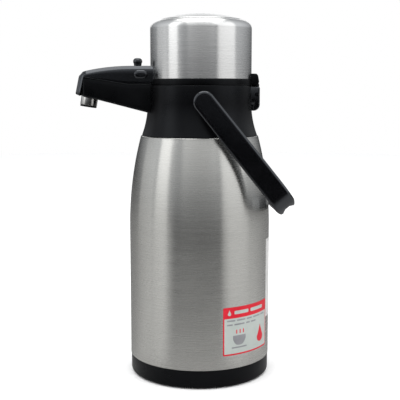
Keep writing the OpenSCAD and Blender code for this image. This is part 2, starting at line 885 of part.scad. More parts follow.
module carry_handle() {
    corner_r = 21;
    color("#121214") translate([0, 0, handle_z]) rotate([0, handle_rest, 0]) difference() {
        intersection() {
            union() {
                across(jug_wide) handle_side();
                rotate([90, 0, 0]) cylinder(r = arm_w / 2, h = 2 * jug_wide, center = true);
            }
            translate([0, 0, -30]) linear_extrude(60) difference() {
                u_outline(grip_out, arm_out_y, corner_r);
                u_outline(grip_in, arm_in_y, corner_r - arm_t);
            }
        }
        rotate([90, 0, 0])
            cylinder(r = handle_pin_r + running_gap, h = 2 * handle_pin_out_y + 0.2, center = true);
    }
}

module handle_pins() {
    color("silver") for (side = [-1, 1])
        translate([0, side * handle_pin_in_y, handle_z]) rotate([-side * 90, 0, 0])
            cylinder(r = handle_pin_r, h = handle_pin_out_y - handle_pin_in_y);
}

outer_shell();
shell_neck();
shell_bottom();
inner_liner();
liner_neck();
liner_bottom();
base_ring();
foot_ring();
base_screws();
collar();
spout_tray();
neck_nut();
neck_gasket();
mouth_funnel();
siphon_tube();
siphon_head();
siphon_seal();
spout_pipe();
nozzle_sleeve();
nozzle_insert();
nozzle_seal();
hinge_bracket();
bracket_screws();
hinge_pin();
handle_pins();
care_label();
rear_label();
lid_ring();
cap_shell();
guide_sleeve();
inner_lid();
lid_gasket();
bellows();
return_spring();
delivery_valve();
lid_screws();
spout_cover();
latch_pin();
latch_spring();
press_plate();
press_carrier();
intake_valve();
latch_lever();
carry_handle();
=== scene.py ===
"""Looks of the thermal airpot: finer shapes, materials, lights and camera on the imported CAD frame.

Lengths in the shape code are millimetres; piece() turns them into metres. The jug's axis is Z, the
spout points to -X, the lid's hinge is at +X and the handle turns about Y.
"""

import json
import math

import bpy
from mathutils import Matrix, Vector


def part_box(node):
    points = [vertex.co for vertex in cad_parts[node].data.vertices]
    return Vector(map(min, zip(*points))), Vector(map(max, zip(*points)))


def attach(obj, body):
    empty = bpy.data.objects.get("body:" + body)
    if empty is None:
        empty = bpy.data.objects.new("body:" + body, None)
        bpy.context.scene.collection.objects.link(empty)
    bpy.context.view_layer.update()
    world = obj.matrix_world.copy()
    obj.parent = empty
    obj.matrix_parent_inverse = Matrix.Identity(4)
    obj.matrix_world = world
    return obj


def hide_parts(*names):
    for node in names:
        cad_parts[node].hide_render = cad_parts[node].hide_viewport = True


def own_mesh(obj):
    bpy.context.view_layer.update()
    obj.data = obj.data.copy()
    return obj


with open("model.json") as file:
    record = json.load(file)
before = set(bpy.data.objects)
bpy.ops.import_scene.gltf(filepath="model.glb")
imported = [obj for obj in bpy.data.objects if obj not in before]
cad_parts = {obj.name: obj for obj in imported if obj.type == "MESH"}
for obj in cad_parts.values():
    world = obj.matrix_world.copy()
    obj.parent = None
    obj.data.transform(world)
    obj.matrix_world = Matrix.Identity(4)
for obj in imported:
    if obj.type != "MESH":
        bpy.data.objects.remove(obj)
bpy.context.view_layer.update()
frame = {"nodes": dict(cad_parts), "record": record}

MM = 0.001
SHARP_ANGLE = math.radians(34)
LID_X = 1.5  # the lid's own axis stands this far from the jug's axis


def span(node):
    """Lowest and highest corner of a CAD node, in millimetres."""
    lo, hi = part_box(node)
    return Vector(lo) / MM, Vector(hi) / MM


def joint_record(name):
    return next(joint for joint in frame["record"]["behaviour"]["joints"] if joint["name"] == name)


def joint_at(name):
    """Point on a joint's axis, in millimetres."""
    return Vector(joint_record(name)["pos_m"]) / MM


# ------------ shape helpers


def arc(cx, cy, radius, start, end, steps):
    """Points along a circle's arc, angles in degrees."""
    turns = [math.radians(start + (end - start) * i / steps) for i in range(steps + 1)]
    return [(cx + radius * math.cos(t), cy + radius * math.sin(t)) for t in turns]


def filleted(corners, steps=6):
    """Closed outline through corners (x, y, radius), each corner rounded by its own radius."""
    points = []
    for i, (x, y, radius) in enumerate(corners):
        here = Vector((x, y))
        before = Vector(corners[i - 1][:2]) - here
        after = Vector(corners[(i + 1) % len(corners)][:2]) - here
        if radius == 0:
            points.append((x, y))
            continue
        half = before.angle(after) / 2
        reach = radius / math.tan(half)
        centre = here + (before.normalized() + after.normalized()).normalized() * radius / math.sin(half)
        first = here + before.normalized() * reach - centre
        last = here + after.normalized() * reach - centre
        turn = first.angle_signed(last)
        for k in range(steps + 1):
            a = -turn * k / steps
            c, s = math.cos(a), math.sin(a)
            points.append((centre.x + first.x * c - first.y * s, centre.y + first.x * s + first.y * c))
    return points


def lathe(outline, matrix=None, segments=256):
    """Vertices and faces of a closed outline (radius, height) turned about Z."""
    matrix = matrix or Matrix.Identity(4)
    count = len(outline)
    verts = []
    for i in range(segments):
        turn = 2 * math.pi * i / segments
        verts += [matrix @ Vector((r * math.cos(turn), r * math.sin(turn), z)) for r, z in outline]
    faces = []
    for i in range(segments):
        a, b = i * count, (i + 1) % segments * count
        faces += [(a + k, b + k, b + (k + 1) % count, a + (k + 1) % count) for k in range(count)]
    return verts, faces


def inset_outline(outline, inset):
    """The outline, drawn anticlockwise, moved inwards at each of its points."""
    count = len(outline)
    moved = []
    for i, (x, y) in enumerate(outline):
        tangent = Vector(outline[(i + 1) % count]) - Vector(outline[i - 1])
        tangent.normalize()
        moved.append((x - tangent.y * inset, y + tangent.x * inset))
    return moved


def close_end(verts, faces, loop, first, point, columns, flip):
    """Closes one end of a slab by columns of faces.

    Each column joins a point in the loop's first half to its partner in the second half. first is
    the number of the loop's first vertex, and point(x, y) gives a point of the end in space.
    """
    count = len(loop)
    rows = []
    for i in range(count // 2):
        left, right = Vector(loop[i]), Vector(loop[count - 1 - i])
        row = [first + i]
        for c in range(1, columns):
            x, y = left.lerp(right, c / columns)
            row.append(len(verts))
            verts.append(point(x, y))
        rows.append(row + [first + count - 1 - i])
    for row, after in zip(rows, rows[1:]):
        for c in range(columns):
            quad = (row[c], after[c], after[c + 1], row[c + 1])
            faces.append(quad[::-1] if flip else quad)


def slab(outline, rings, place, columns=8):
    """Vertices and faces of a solid with a given outline in plan.

    rings is a list of (inset, height) from one end to the other, where height is a number or a
    function of (x, y); each ring is one loop. place(x, y, height) gives the point in space.
    """
    count = len(outline)

    def ring_point(height):
        return lambda x, y: place(x, y, height(x, y) if callable(height) else height)

    verts, faces, loops = [], [], []
    for inset, height in rings:
        loops.append(inset_outline(outline, inset))
        verts += [ring_point(height)(x, y) for x, y in loops[-1]]
    for k in range(len(rings) - 1):
        a, b = k * count, (k + 1) * count
        faces += [(a + i, a + (i + 1) % count, b + (i + 1) % count, b + i) for i in range(count)]
    last = len(rings) - 1
    close_end(verts, faces, loops[0], 0, ring_point(rings[0][1]), columns, flip=True)
    close_end(verts, faces, loops[last], last * count, ring_point(rings[last][1]), columns, flip=False)
    return verts, faces


def quarter_turn(steps):
    """Pairs (1 - cosine, 1 - sine) along a quarter of a circle, for rounding an edge."""
    turns = [math.pi / 2 * k / steps for k in range(steps + 1)]
    return [(1 - math.cos(a), 1 - math.sin(a)) for a in turns]


def round_rings(low, high, low_fillet, high_fillet, steps=5):
    """Rings from the low face to the high face, with rounded edges, for slab()."""
    rings = [(low_fillet * s, low + low_fillet * c) for c, s in quarter_turn(steps)]
    return rings + [(high_fillet * c, high - high_fillet * s) for c, s in quarter_turn(steps)]


def clamp(share):
    """A share, held between 0 and 1."""
    return max(0.0, min(1.0, share))


def upright(x, y, z):
    return Vector((x, y, z))


def sideways(x, z, y):
    """Puts an outline drawn in the jug's middle plane (x, z) at a distance y across the jug."""
    return Vector((x, -y, z))


def join(*shapes):
    """Several (vertices, faces) as one."""
    verts, faces = [], []
    for more_verts, more_faces in shapes:
        first = len(verts)
        verts += more_verts
        faces += [tuple(first + i for i in face) for face in more_faces]
    return verts, faces


def new_mesh(name, shape):
    """Mesh from (vertices, faces) in millimetres."""
    verts, faces = shape
    mesh = bpy.data.meshes.new(name)
    mesh.from_pydata([Vector(v) * MM for v in verts], [], faces)
    return mesh


def new_object(name, data):
    """Object in the scene that shows a mesh, a light or a camera."""
    obj = bpy.data.objects.new(name, data)
    bpy.context.scene.collection.objects.link(obj)
    return obj


def piece(name, shape, material, body, replaces=()):
    """Makes an object from (vertices, faces), with smooth shading except at sharp edges."""
    mesh = new_mesh(name, shape)
    mesh.materials.append(material)
    mesh.validate()
    mesh.shade_smooth()
    mesh.set_sharp_from_angle(angle=SHARP_ANGLE)
    obj = new_object(name, mesh)
    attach(obj, body)
    if replaces:
        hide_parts(*replaces)
    return obj


def block(lo, hi):
    """Box between two corners, for cutting."""
    outline = [(lo[0], lo[1]), (hi[0], lo[1]), (hi[0], hi[1]), (lo[0], hi[1])]
    return slab(outline, [(0, lo[2]), (0, hi[2])], upright, columns=1)


def bore_shape(radius, low, high, matrix=None, segments=256):
    """Upright cylinder, for cutting; a thin hole along its axis keeps its faces plain."""
    axis_r = 0.2
    return lathe([(axis_r, low), (radius, low), (radius, high), (axis_r, high)], matrix, segments)


def carve(obj, *cutters):
    """Cuts closed shapes out of a piece and keeps the result as its mesh."""
    made = []
    for shape in cutters:
        cutter = new_object("cutter", new_mesh("cutter", shape))
        cut = obj.modifiers.new("cut", "BOOLEAN")
        cut.operation = "DIFFERENCE"
        cut.solver = "EXACT"
        cut.object = cutter
        made.append(cutter)
    bpy.context.view_layer.update()
    evaluated = obj.evaluated_get(bpy.context.evaluated_depsgraph_get())
    result = bpy.data.meshes.new_from_object(evaluated)
    obj.modifiers.clear()
    obj.data = result
    for cutter in made:
        bpy.data.objects.remove(cutter)


# ------------ materials


SKY_TINT = (0.88, 0.93, 1.0)


def nodes_of(name):
    material = bpy.data.materials.new(name)
    material.use_nodes = True
    tree = material.node_tree
    return material, tree, tree.nodes["Principled BSDF"]


def scaled_noise(tree, scale, detail=3, roughness=0.55):
    """Noise over the object's own coordinates; scale is features per metre along X, Y and Z."""
    place = tree.nodes.new("ShaderNodeTexCoord")
    stretch = tree.nodes.new("ShaderNodeMapping")
    stretch.inputs["Scale"].default_value = scale
    noise = tree.nodes.new("ShaderNodeTexNoise")
    noise.inputs["Scale"].default_value = 1
    noise.inputs["Detail"].default_value = detail
    noise.inputs["Roughness"].default_value = roughness
    tree.links.new(place.outputs["Object"], stretch.inputs["Vector"])
    tree.links.new(stretch.outputs["Vector"], noise.inputs["Vector"])
    return noise.outputs["Fac"]


def value_node(tree, operation, *values):
    """Result of a maths node; each value is a number or a socket."""
    node = tree.nodes.new("ShaderNodeMath")
    node.operation = operation
    for socket, value in zip(node.inputs, values):
        if isinstance(value, (int, float)):
            socket.default_value = value
        else:
            tree.links.new(value, socket)
    return node.outputs["Value"]


def remap(tree, value, low, high):
    """Spreads a noise value, which lies mostly between 0.3 and 0.7, from low to high."""
    return spread_range(tree, value, 0.3, 0.7, low, high)


def spread_range(tree, value, low, high, first, last):
    """Maps a value between low and high to the range from first to last."""
    node = tree.nodes.new("ShaderNodeMapRange")
    for socket, number in (("From Min", low), ("From Max", high), ("To Min", first), ("To Max", last)):
        node.inputs[socket].default_value = number
    tree.links.new(value, node.inputs["Value"])
    return node.outputs["Result"]


def tinted(tree, value, dark, light):
    """Colour between two tones."""
    node = tree.nodes.new("ShaderNodeMix")
    node.data_type = "RGBA"
    node.inputs["A"].default_value = (*dark, 1)
    node.inputs["B"].default_value = (*light, 1)
    tree.links.new(value, node.inputs["Factor"])
    return node.outputs["Result"]


def bump(tree, bsdf, value, distance, strength):
    node = tree.nodes.new("ShaderNodeBump")
    node.inputs["Distance"].default_value = distance
    node.inputs["Strength"].default_value = strength
    tree.links.new(value, node.inputs["Height"])
    tree.links.new(node.outputs["Normal"], bsdf.inputs["Normal"])


def moulded(name, dark, light, rough, grain=1400, grain_depth=0.00002, coat=0.0, spread=0.06, specular=0.5):
    """Moulded plastic or rubber: a fine grain, with slight cloudiness in colour and gloss."""
    material, tree, bsdf = nodes_of(name)
    cloud = scaled_noise(tree, (45, 45, 45), detail=4)
    tree.links.new(tinted(tree, remap(tree, cloud, 0, 1), dark, light), bsdf.inputs["Base Color"])
    tree.links.new(remap(tree, cloud, rough - spread, rough + spread), bsdf.inputs["Roughness"])
    bsdf.inputs["Coat Weight"].default_value = coat
    bsdf.inputs["Coat Roughness"].default_value = 0.12
    bsdf.inputs["Specular IOR Level"].default_value = specular
    bsdf.inputs["Specular Tint"].default_value = (*SKY_TINT, 1)
    bump(tree, bsdf, scaled_noise(tree, (grain, grain, grain), detail=2), grain_depth, 0.5)
    return material


def brushed(name, dark, light, rough, across, along, depth, aniso):
    """Brushed steel whose fine lines run round the jug's axis.

    across and along count the lines' noise features per metre, and depth is the lines' relief in
    metres.
    """
    material, tree, bsdf = nodes_of(name)
    lines = scaled_noise(tree, (along, along, across), detail=4, roughness=0.7)
    smudge = scaled_noise(tree, (18, 18, 18), detail=5)
    tree.links.new(tinted(tree, remap(tree, lines, 0, 1), dark, light), bsdf.inputs["Base Color"])
    line_rough = remap(tree, lines, rough - 0.03, rough + 0.03)
    smudge_rough = remap(tree, smudge, -0.01, 0.02)
    tree.links.new(value_node(tree, "ADD", line_rough, smudge_rough), bsdf.inputs["Roughness"])
    bsdf.inputs["Metallic"].default_value = 1
    bsdf.inputs["Anisotropic"].default_value = aniso
    bsdf.inputs["Anisotropic Rotation"].default_value = 0.25
    tangent = tree.nodes.new("ShaderNodeTangent")
    tangent.direction_type = "RADIAL"
    tangent.axis = "Z"
    tree.links.new(tangent.outputs["Tangent"], bsdf.inputs["Tangent"])
    bump(tree, bsdf, lines, depth, 0.6)
    return material


def polished(name, dark, light, rough):
    """Bright metal with faint wear marks."""
    material, tree, bsdf = nodes_of(name)
    marks = scaled_noise(tree, (300, 300, 900), detail=4)
    tree.links.new(tinted(tree, remap(tree, marks, 0, 1), dark, light), bsdf.inputs["Base Color"])
    tree.links.new(remap(tree, marks, rough, rough + 0.1), bsdf.inputs["Roughness"])
    bsdf.inputs["Metallic"].default_value = 1
    bump(tree, bsdf, marks, 0.000004, 0.3)
    return material


STEEL_BODY = brushed(
    "steel_body", (0.57, 0.565, 0.535), (0.65, 0.64, 0.61), 0.26,
    across=3000, along=24, depth=0.0000012, aniso=0.9,
)
STEEL_CAP = brushed(
    "steel_cap", (0.79, 0.785, 0.77), (0.89, 0.885, 0.87), 0.25,
    across=2400, along=24, depth=0.000002, aniso=0.9,
)
STEEL_DOME = brushed(
    "steel_dome", (0.60, 0.60, 0.59), (0.72, 0.72, 0.71), 0.26,
    across=1500, along=60, depth=0.000006, aniso=0.4,
)
STEEL_INNER = brushed(
    "steel_inner", (0.56, 0.56, 0.56), (0.70, 0.70, 0.70), 0.22,
    across=900, along=40, depth=0.000006, aniso=0.3,
)
STEEL_BRIGHT = polished("steel_bright", (0.50, 0.49, 0.47), (0.62, 0.61, 0.59), 0.14)
STEEL_SCREW = polished("steel_screw", (0.40, 0.40, 0.41), (0.56, 0.56, 0.57), 0.25)
BLACK_SATIN = moulded(
    "black_satin", (0.0010, 0.0010, 0.0012), (0.0020, 0.0019, 0.0022), 0.30, specular=0.17,
)
BLACK_GLOSS = moulded(
    "black_gloss", (0.0010, 0.0010, 0.0013), (0.0020, 0.0020, 0.0026), 0.13,
    grain=900, grain_depth=0.000003, coat=0.08, spread=0.03, specular=0.85,
)
DARK_INNER = moulded("dark_inner", (0.030, 0.030, 0.032), (0.048, 0.048, 0.050), 0.50)
FOOD_PLASTIC = moulded("food_plastic", (0.62, 0.61, 0.57), (0.76, 0.75, 0.71), 0.38)
SILICONE = moulded("silicone", (0.68, 0.66, 0.60), (0.82, 0.81, 0.75), 0.45, 2200)
RUBBER = moulded("rubber", (0.022, 0.022, 0.023), (0.036, 0.036, 0.038), 0.62, 1800, 0.00004)
VALVE_RUBBER = moulded("valve_rubber", (0.36, 0.07, 0.03), (0.50, 0.12, 0.06), 0.55, 1800)
LABEL_RED = moulded("label_red", (0.46, 0.006, 0.018), (0.54, 0.012, 0.026), 0.38, 500, specular=0.2)
LABEL_WHITE = moulded("label_white", (0.52, 0.52, 0.51), (0.60, 0.60, 0.59), 0.36, 500, specular=0.2)
LABEL_PAPER = moulded("label_paper", (0.33, 0.36, 0.34), (0.39, 0.42, 0.40), 0.40, 500, specular=0.2)
LABEL_GREY = moulded("label_grey", (0.16, 0.16, 0.17), (0.24, 0.24, 0.25), 0.40, 500)

SLOT_MATERIALS = {
    "steel_brushed": STEEL_BODY,
    "steel_inner": STEEL_INNER,
    "steel_bright": STEEL_BRIGHT,
    "steel_fastener": STEEL_SCREW,
    "plastic_black": BLACK_SATIN,
    "plastic_gloss": BLACK_GLOSS,
    "plastic_dark": DARK_INNER,
    "plastic_food": FOOD_PLASTIC,
    "silicone": SILICONE,
    "rubber_black": RUBBER,
    "valve_rubber": VALVE_RUBBER,
    "label_red": LABEL_RED,
    "label_white": LABEL_WHITE,
}


def dress_cad_nodes():
    """Every CAD node gets the material of its slot in the record."""
    for part in frame["record"]["subparts"]:
        mesh = frame["nodes"][part["node"]].data
        mesh.materials.clear()
        mesh.materials.append(SLOT_MATERIALS[part["material_slot"]])


# ------------ steel jug

SHELL_LO, SHELL_HI = span("outer_shell")
BODY_R = SHELL_HI.y
SHOULDER_LOW_Z = 150
STEEL_TOP_Z = 240.7
STEEL_TOP_R = 58.7
STEEL_T = 0.8
LEDGE_R = 55


def body_outline():
    """Outside of the steel body from its foot to its rolled top edge, then its inside back down."""
    drop, rise = BODY_R - STEEL_TOP_R, STEEL_TOP_Z - SHOULDER_LOW_Z
    radius = (rise**2 + drop**2) / (2 * drop)
    end = math.degrees(math.asin(rise / radius))
    foot_z = SHELL_LO.z
    roll = 0.9
    outside = arc(BODY_R - 0.4, foot_z + 0.4, 0.4, -90, 0, 4)
    outside += [(BODY_R, z) for z in range(30, SHOULDER_LOW_Z, 20)]
    outside += arc(BODY_R - radius, SHOULDER_LOW_Z, radius, 0, end * 0.99, 48)
    tip_r, tip_z = outside[-1]
    rolled = arc(tip_r - roll, tip_z, roll, 8, 100, 8)
    ledge = [(LEDGE_R, tip_z + roll - 0.1), (LEDGE_R, tip_z), (tip_r - 1.7, tip_z - 1)]
    lining = arc(BODY_R - radius, SHOULDER_LOW_Z, radius, 0, end, 24)
    inside = [(r - STEEL_T, z) for r, z in reversed(lining)]
    inside += [(BODY_R - STEEL_T, foot_z)]
    return outside + rolled + ledge + inside


def base_outline(groove_in, groove_out, groove_top):
    """Base cup: outer wall, spigot inside the shell, floor with a raised pad, and the foot's groove."""
    base_lo, base_hi = span("base_ring")
    outer_r, low_z = base_hi.y, base_lo.z
    inner_r, spigot_r = outer_r - 3, BODY_R - 1.6
    seat_z = SHELL_LO.z - 0.3
    floor_low, floor_top = 5, 8
    pad_in, pad_out, pad_top = 34, 46, 12
    axis_r = 0.4
    return filleted([
        (outer_r, low_z, 3.4), (outer_r, seat_z, 0.4), (spigot_r, seat_z, 0),
        (spigot_r, base_hi.z, 0.3), (inner_r, base_hi.z, 0.3), (inner_r, floor_top, 2),
        (pad_out, floor_top, 0), (pad_out, pad_top, 0.4), (pad_in, pad_top, 0.4), (pad_in, floor_top, 0),
        (axis_r, floor_top, 0), (axis_r, floor_low, 0), (groove_in - 2.2, floor_low, 0.3),
        (groove_in, low_z, 0.3), (groove_in, groove_top, 0), (groove_out, groove_top, 0),
        (groove_out, low_z, 0.3),
    ])


def make_jug():
    piece("body_skin", lathe(body_outline()), STEEL_BODY, "vessel", ["outer_shell"])
    groove_in, groove_out, groove_top = 55.2, 61.8, 3.2
    base = base_outline(groove_in, groove_out, groove_top)
    piece("base_moulding", lathe(base), BLACK_SATIN, "vessel", ["base_ring"])
    foot_in, foot_out = groove_in - 0.1, groove_out + 0.1
    foot = filleted([
        (foot_in, 0, 0.9), (foot_out, 0, 0.9), (foot_out, groove_top, 0.2), (foot_in, groove_top, 0.2),
    ])
    piece("foot_pad", lathe(foot), RUBBER, "vessel", ["foot_ring"])


# ------------ collar and lower spout

COLLAR_TOP_Z = span("collar")[1].z
COLLAR_R = 51.9
COLLAR_T = 2.4
FLARE_LOW_R = 58
FLARE_TOP_Z = 273
SEAM_TIP = (-117.6, 298.2)
SEAM_ROOT = (-71, 291)
SPOUT_TIP_X = span("spout_cover")[0].x
TIP_HALF, ROOT_HALF = 13.5, 16.5
FLARE_R = 1.5
CAP_R = 50.3


def collar_outline():
    """Collar wall: its flared outside, its rounded top, and the ledge inside it."""
    low_z = STEEL_TOP_Z + 0.5
    drop, rise = FLARE_LOW_R - COLLAR_R, FLARE_TOP_Z - STEEL_TOP_Z
    radius = (rise**2 + drop**2) / (2 * drop)
    sweep = math.degrees(math.asin((FLARE_TOP_Z - low_z) / radius))
    flare = arc(COLLAR_R + radius, FLARE_TOP_Z, radius, 180 + sweep, 180, 28)
    low_r = flare[0][0]
    outside = [(low_r - 1.2, low_z - 0.5), (low_r - 0.5, low_z - 0.3), (low_r - 0.1, low_z)] + flare[1:]
    top = arc(COLLAR_R - 0.6, COLLAR_TOP_Z - 0.6, 0.6, 0, 90, 5)
    inner_top = arc(COLLAR_R - COLLAR_T + 0.5, COLLAR_TOP_Z - 0.5, 0.5, 90, 180, 4)
    inner_r = COLLAR_R - COLLAR_T
    ledge_r, ledge_low, ledge_top = 40.2, 258.5, 261.5
    inside = [
        (inner_r, ledge_top + 1), (inner_r - 0.8, ledge_top), (ledge_r + 0.4, ledge_top),
        (ledge_r, ledge_top - 0.4), (ledge_r, ledge_low), (inner_r - 1, ledge_low),
        (low_r - COLLAR_T, low_z),
    ]
    return outside + top + inner_top + inside


def seam_z(x):
    """Height of the joint line between the lower spout and its cover."""
    if x > SEAM_ROOT[0]:
        return SEAM_ROOT[1]
    share = (x - SEAM_ROOT[0]) / (SEAM_TIP[0] - SEAM_ROOT[0])
    return SEAM_ROOT[1] + (SEAM_TIP[1] - SEAM_ROOT[1]) * share


def underside_z(x):
    """Height of the lower spout's underside, which rises from the collar to the nozzle."""
    steps = [(-125, 281.5), (-116.6, 279.7), (-100.5, 276.3), (-53, 264), (-30, 258)]
    for (x0, z0), (x1, z1) in zip(steps, steps[1:]):
        if x <= x1:
            return z0 + (z1 - z0) * (x - x0) / (x1 - x0)
    return steps[-1][1]


def spout_plan(tip_x, axis_x, round_r, ring_r):
    """Anticlockwise plan of the spout, from the +Y side of its root round the nose to the -Y side.

    Concave fillets lead its sides into the round part of radius ring_r about axis_x.
    """
    reach = ring_r + FLARE_R
    fillet_y = ROOT_HALF + FLARE_R
    fillet_x = axis_x - math.sqrt(reach**2 - fillet_y**2)
    end_angle = math.degrees(math.atan2(-fillet_y, axis_x - fillet_x))
    side = [(fillet_x + 14, fillet_y - FLARE_R * 0.2)]
    side += arc(fillet_x, fillet_y, FLARE_R, end_angle, -90, 8)
    last = side[-1]
    corner = arc(tip_x + round_r, TIP_HALF - round_r, round_r, 90, 180, 10)
    straight = 26
    side += [tuple(Vector(last).lerp(Vector(corner[0]), k / straight)) for k in range(1, straight)]
    side += corner
    side += [(tip_x, (TIP_HALF - round_r) * k / 4) for k in (3, 2, 1)]
    side.append((tip_x, 0.02))
    return side + [(x, -y) for x, y in reversed(side)]


def tray_shape():
    """Open-topped lower half of the spout: floor, inner lip, rim and rounded underside."""
    plan = spout_plan(-116.6, 0, 4.5, CAP_R + 0.6)
    wall, gap, fillet = 2.4, 0.18, 2.6

    def floor_at(extra):
        return lambda x, y: underside_z(x) + extra

    def rim_at(extra):
        return lambda x, y: seam_z(x) - gap + extra

    lip_out, lip_in, lip_h = 2.9, 3.8, 1.6
    rings = [
        (lip_in + 1.2, floor_at(wall)), (lip_in + 0.3, floor_at(wall + 0.4)),
        (lip_in, floor_at(wall + 1.4)), (lip_in, rim_at(lip_h - 0.2)), (lip_in - 0.2, rim_at(lip_h)),
        (lip_out + 0.2, rim_at(lip_h)), (lip_out, rim_at(lip_h - 0.2)), (lip_out, rim_at(0.05)),
        (lip_out - 0.1, rim_at(0)), (0.9, rim_at(0)), (0.5, rim_at(-0.08)), (0.3, rim_at(-0.3)),
        (0.15, rim_at(-1.5)), (0, rim_at(-4)),
    ]
    rings += [(fillet * c, floor_at(fillet * s)) for c, s in quarter_turn(6)]
    return slab(plan, rings, upright)


def across_axis(x, y, z, way):
    """Matrix that lays a turned shape's axis across the jug, towards +Y or -Y."""
    return Matrix.Translation((x, y, z)) @ Matrix.Rotation(math.radians(-90 * way), 4, "X")


PIVOT = joint_at("handle_swing")
ARM_IN_Y, ARM_OUT_Y = 60.8, 66


def pivot_boss(way):
    """Round pad that stands out from the collar to carry one arm of the handle."""
    root_y, radius, pin_r, axis_r = 46, 9, 4.2, 0.3
    height = ARM_IN_Y - 0.4 - root_y
    outline = filleted([
        (axis_r, 0, 0), (radius, 0, 0), (radius, height, 0.7), (pin_r, height, 0), (axis_r, height, 0),
    ])
    return lathe(outline, across_axis(0, root_y * way, PIVOT.z, way), 96)


def make_collar():
    piece("collar_moulding", lathe(collar_outline()), BLACK_SATIN, "vessel", ["collar"])
    tray = piece("spout_trough", tray_shape(), BLACK_SATIN, "vessel", ["spout_tray"])
    carve(tray, bore_shape(COLLAR_R - 1, 250, 300, segments=96))
    piece("pivot_bosses", join(pivot_boss(1), pivot_boss(-1)), BLACK_SATIN, "vessel")


# ------------ nozzle

NOZZLE = next(m for m in frame["record"]["mounts"] if m["name"] == "nozzle_outlet")
LIP_H = 1.9
SLEEVE_R, SLEEVE_TOP = 8.25, 13.5
INSERT_R = 5.5


def on_nozzle():
    """Matrix whose Z runs up the nozzle from its mouth."""
    up = -Vector(NOZZLE["axis"])
    return Matrix.Translation(Vector(NOZZLE["pos_m"]) / MM) @ up.to_track_quat("Z", "X").to_matrix().to_4x4()


def make_nozzle():
    """Steel sleeve round a black insert, whose lip closes the sleeve below."""
    bore_r, length = NOZZLE["dims"]["r_mm"], NOZZLE["dims"]["length_mm"]
    seat_r, lip_r = INSERT_R + 0.1, SLEEVE_R - 0.15
    sleeve = filleted([
        (seat_r, LIP_H, 0), (SLEEVE_R, LIP_H, 0.3), (SLEEVE_R, SLEEVE_TOP, 0.3), (seat_r, SLEEVE_TOP, 0),
    ])
    shape = lathe(sleeve, on_nozzle(), 128)
    piece("nozzle_skin", shape, STEEL_BRIGHT, "vessel", ["nozzle_sleeve"])
    lip = filleted([
        (bore_r, 0, 0.4), (lip_r, 0, 0.5), (lip_r, LIP_H, 0.1), (INSERT_R, LIP_H, 0),
        (INSERT_R, length, 0), (bore_r, length, 0),
    ])
    shape = lathe(lip, on_nozzle(), 128)
    piece("nozzle_lip", shape, BLACK_SATIN, "vessel", ["nozzle_insert"])


# ------------ labels

CARE_TURNS, REAR_TURNS = (-75.4, -25.6), (-25, 25)
FILM_LIFT, PANEL_LIFT, PRINT_LIFT = 0.12, 0.15, 0.18


def on_body(along, z, lift):
    """Point on the steel wall: its distance round the wall from the hinge side, height and lift."""
    turn = along / BODY_R
    return Vector(((BODY_R + lift) * math.cos(turn), (BODY_R + lift) * math.sin(turn), z))


def film(columns, low_lift, high_lift):
    """Thin film on the body from columns (along, lower edge, upper edge), ordered along the wall."""
    outline = [(x, low) for x, low, high in columns] + [(x, high) for x, low, high in reversed(columns)]
    return slab(outline, [(0, low_lift), (0, high_lift)], on_body, columns=1)


def bar(x0, z0, x1, z1, corner=0.6):
    """Columns of a rectangle with rounded corners."""
    steps = max(2, round((x1 - x0 - 2 * corner) / 1.5))
    left = [(x0 + corner * (1 - math.cos(t)), corner * (1 - math.sin(t))) for t in (0, 0.4, 0.8, 1.2)]
    middle = [(x0 + corner + (x1 - x0 - 2 * corner) * k / steps, 0) for k in range(steps + 1)]
    right = [(x0 + x1 - x, cut) for x, cut in reversed(left)]
    return [(x, z0 + cut, z1 - cut) for x, cut in left + middle + right]


def drop_columns(x, z, radius):
    """Columns of a water drop: a round below and a point above."""
    columns = []
    for k in range(17):
        a = math.radians(6 + 168 * k / 16)
        side, low = radius * math.cos(math.pi - a), radius * math.sin(a)
        columns.append((x + side, z - low, z + 0.3 * low + 1.9 * radius * (1 - abs(side) / radius) ** 1.4))
    return columns


def cup_columns(x, z, half):
    """Columns of a cup: straight rim, sides that round into the base."""
    columns = []
    for k in range(17):
        side = -half + 2 * half * k / 16
        columns.append((x + side, z - half * 0.8 * (1 - abs(side / half) ** 3), z + half * 0.5))
    return columns


def care_print(x0, z0):
    """Columns of the grey print and of the red print on the care label's pale panel."""
    rows = ((33.4, (4, 13, 15, 25, 27, 34, 36, 47, 49, 56)), (29.4, (4, 10, 12, 24, 26, 31, 33, 40)))
    grey = [bar(x0 + row[i], z0 + z, x0 + row[i + 1], z0 + z + 1.5, 0.3) for z, row in rows
            for i in range(0, len(row), 2)]
    grey.append(cup_columns(x0 + 18, z0 + 15.5, 7.5))
    grey.append(bar(x0 + 9, z0 + 6.6, x0 + 27, z0 + 8, 0.6))
    red = [bar(x0 + 14 + 4 * k, z0 + 21, x0 + 15.2 + 4 * k, z0 + 25, 0.5) for k in range(3)]
    red.append(drop_columns(x0 + 48, z0 + 12.5, 5.6))
    return grey, red


def label_edges(node, turns):
    """Edges of a label: its start along the wall, lower edge, end along the wall and upper edge."""
    start, end = (math.radians(turn) * BODY_R for turn in turns)
    lo, hi = span(node)
    return start, lo.z, end, hi.z


def printed(shapes, low_lift, high_lift):
    """Several printed shapes as one thin film."""
    return join(*[film(columns, low_lift, high_lift) for columns in shapes])


